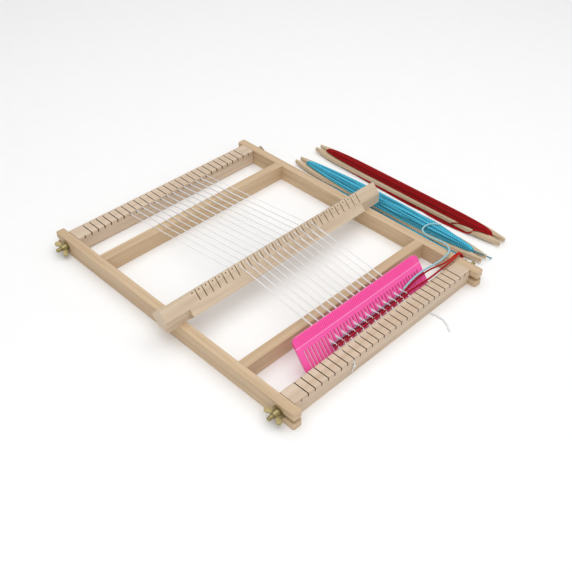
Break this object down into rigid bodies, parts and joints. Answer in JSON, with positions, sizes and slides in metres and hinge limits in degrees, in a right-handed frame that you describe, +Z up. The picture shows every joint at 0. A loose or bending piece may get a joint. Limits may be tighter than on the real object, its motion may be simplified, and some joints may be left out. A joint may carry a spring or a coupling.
{
  "type": "tapestry loom",
  "caption": "Wooden tabletop weaving frame with kerfed turning beams, rocking heddle bar, strung warp, plastic comb and two yarn-wound stick shuttles.",
  "frame": {"origin": "on the floor plane, under the middle of the loom and the two shuttles beside it", "axes": "+Z up; +X along the beams, from the frame towards the shuttles; +Y from the weaver's side to the far beam"},
  "size_m": [0.4331, 0.4493, 0.0483],
  "materials": {
    "beech": "planed, oiled, satin",
    "beech_pin": "turned",
    "beech_beam": "planed, sawn kerfs",
    "beech_bar": "planed, sawn slots",
    "shuttle_wood": "sanded",
    "zinc": "yellow zinc plated",
    "zinc_nut": "yellow zinc plated",
    "comb_plastic": "moulded, glossy",
    "cotton": "twisted cotton thread",
    "red_yarn": "spun wool yarn",
    "red_strand": "spun wool yarn",
    "blue_yarn": "spun wool yarn"
  },
  "bodies": {
    "frame": {"side_rail_left": "beech", "side_rail_right": "beech", "front_stretcher": "beech", "back_stretcher": "beech", "stretcher_dowels": "beech_pin", "washers": "zinc", "warp_hole_threads": "cotton", "warp_slot_threads": "cotton", "strand_red": "red_strand", "strand_red_loop": "red_strand", "strand_blue_weave": "blue_yarn", "strand_blue_rail": "blue_yarn", "warp_tail": "cotton"},
    "front_beam": {"front_beam": "beech_beam", "front_bolts": "zinc", "woven_strip": "red_yarn", "warp_front_ends": "cotton", "warp_knot": "cotton"},
    "back_beam": {"back_beam": "beech_beam", "back_bolts": "zinc", "warp_back_loops": "cotton"},
    "heddle_bar": {"heddle_bar": "beech_bar"},
    "comb": {"comb": "comb_plastic"},
    "shuttle_blue": {"shuttle_blue": "shuttle_wood", "yarn_blue": "blue_yarn"},
    "shuttle_red": {"shuttle_red": "shuttle_wood", "yarn_red": "red_yarn"},
    "wing_nut_front_left": {"wing_nut_front_left": "zinc_nut"},
    "wing_nut_front_right": {"wing_nut_front_right": "zinc_nut"},
    "wing_nut_back_left": {"wing_nut_back_left": "zinc_nut"},
    "wing_nut_back_right": {"wing_nut_back_right": "zinc_nut"}
  },
  "joints": [
    {"name": "front_beam_turn", "type": "hinge", "parent": "frame", "child": "front_beam", "pos_m": [-0.0395, -0.19, 0.011], "axis": [1, 0, 0], "range_deg": [0, 90], "deforming": ["warp_slot_threads", "strand_red", "strand_red_loop", "strand_blue_weave"]},
    {"name": "back_beam_turn", "type": "hinge", "parent": "frame", "child": "back_beam", "pos_m": [-0.0395, 0.19, 0.011], "axis": [-1, 0, 0], "range_deg": [0, 90]},
    {"name": "heddle_rock", "type": "hinge", "parent": "frame", "child": "heddle_bar", "pos_m": [-0.0395, -0.0324, 0.0221], "axis": [1, 0, 0], "range_deg": [0, 90], "deforming": ["warp_hole_threads"]},
    {"name": "comb_lift", "type": "slide", "parent": "frame", "child": "comb", "axis": [0, 0.6018, 0.7986], "range_m": [0, 0.06]},
    {"name": "shuttle_blue_lift", "type": "slide", "parent": "frame", "child": "shuttle_blue", "axis": [0, 0, 1], "range_m": [0, 0.05], "deforming": ["strand_blue_rail"]},
    {"name": "shuttle_red_lift", "type": "slide", "parent": "frame", "child": "shuttle_red", "axis": [0, 0, 1], "range_m": [0, 0.05]},
    {"name": "wing_nut_front_left_spin", "type": "hinge", "parent": "front_beam", "child": "wing_nut_front_left", "pos_m": [-0.2055, -0.19, 0.011], "axis": [-1, 0, 0], "continuous": true},
    {"name": "wing_nut_front_right_spin", "type": "hinge", "parent": "front_beam", "child": "wing_nut_front_right", "pos_m": [0.1265, -0.19, 0.011], "axis": [1, 0, 0], "continuous": true},
    {"name": "wing_nut_back_left_spin", "type": "hinge", "parent": "back_beam", "child": "wing_nut_back_left", "pos_m": [-0.2055, 0.19, 0.011], "axis": [-1, 0, 0], "continuous": true},
    {"name": "wing_nut_back_right_spin", "type": "hinge", "parent": "back_beam", "child": "wing_nut_back_right", "pos_m": [0.1265, 0.19, 0.011], "axis": [1, 0, 0], "continuous": true}
  ]
}
